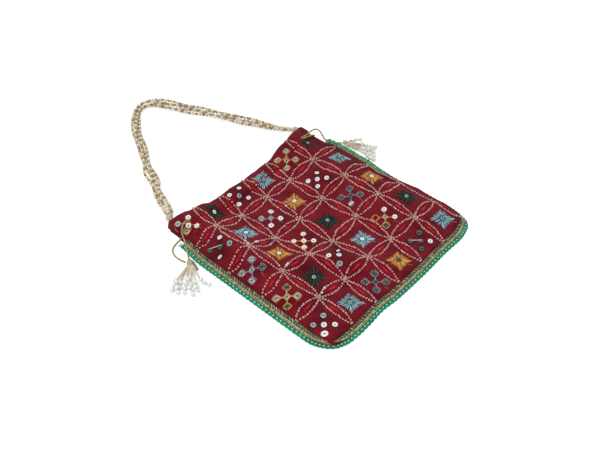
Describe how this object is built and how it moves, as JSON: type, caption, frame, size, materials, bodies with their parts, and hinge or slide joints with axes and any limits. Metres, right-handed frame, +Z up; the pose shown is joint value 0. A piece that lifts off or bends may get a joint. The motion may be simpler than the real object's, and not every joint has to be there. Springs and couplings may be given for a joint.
{
  "type": "potli bag",
  "caption": "Embroidered drawstring pouch with a beaded loop handle, a cord casing at the mouth, corner tassels and a braid and lace edge.",
  "frame": {"origin": "middle of the pouch's bounding box in plan, on the table it lies on (handle, drawstring ends and tassels left out)", "axes": "+X along the mouth towards the right corner, +Y from the bottom seam to the mouth, +Z up from the table"},
  "size_m": [0.2838, 0.3856, 0.0171],
  "materials": {
    "maroon_cloth": "embroidered matte cloth",
    "maroon_back_cloth": "plain matte cloth",
    "red_lining": "smooth lining cloth",
    "pink_beading": "rows of small pink beads on satin stitches",
    "white_sequins": "glossy cup sequins held by crossing threads",
    "mustard_thread": "silky stitches",
    "dark_green_thread": "silky stitches",
    "blue_thread": "silky stitches",
    "gold_braid": "woven braid with a green zigzag",
    "green_lace": "crocheted edging with white beads",
    "gold_cord": "twisted metallic cord",
    "pearl_beads": "pearly beads on thread",
    "cream_thread": "wound thread"
  },
  "bodies": {
    "root": {"back_panel": "maroon_back_cloth", "braid_trim": "gold_braid", "drawstring_left_front": "gold_cord", "drawstring_left_side": "gold_cord", "drawstring_right_front": "gold_cord", "drawstring_right_side": "gold_cord", "drawstring_run_left": "gold_cord", "drawstring_run_right": "gold_cord", "flower_1_1": "white_sequins", "flower_1_2": "white_sequins", "flower_1_3": "white_sequins", "flower_1_4": "white_sequins", "flower_1_5": "white_sequins", "flower_3_1": "white_sequins", "flower_3_2": "white_sequins", "flower_3_3": "white_sequins", "flower_3_4": "white_sequins", "flower_3_5": "white_sequins", "flower_5_1": "white_sequins", "flower_5_2": "white_sequins", "flower_5_3": "white_sequins", "flower_5_4": "white_sequins", "flower_5_5": "white_sequins", "front_panel": "maroon_cloth", "handle_binding_left": "cream_thread", "handle_binding_right": "cream_thread", "handle_strand_1": "pearl_beads", "handle_strand_2": "pearl_beads", "handle_strand_3": "pearl_beads", "handle_strand_4": "pearl_beads", "handle_strand_5": "pearl_beads", "lace_edging": "green_lace", "lining": "red_lining", "petal_lattice": "pink_beading", "star_2_1": "dark_green_thread", "star_2_2": "blue_thread", "star_2_3": "mustard_thread", "star_2_4": "dark_green_thread", "star_2_5": "blue_thread", "star_4_1": "blue_thread", "star_4_2": "mustard_thread", "star_4_3": "dark_green_thread", "star_4_4": "blue_thread", "star_4_5": "mustard_thread", "star_6_1": "dark_green_thread", "star_6_2": "blue_thread", "star_6_3": "mustard_thread", "star_6_4": "dark_green_thread", "star_6_5": "blue_thread", "tassel_knot_left": "cream_thread", "tassel_knot_right": "cream_thread", "tassel_left_string_1": "pearl_beads", "tassel_left_string_2": "pearl_beads", "tassel_left_string_3": "pearl_beads", "tassel_left_string_4": "pearl_beads", "tassel_right_string_1": "pearl_beads", "tassel_right_string_2": "pearl_beads", "tassel_right_string_3": "pearl_beads", "tassel_right_string_4": "pearl_beads"}
  },
  "joints": []
}
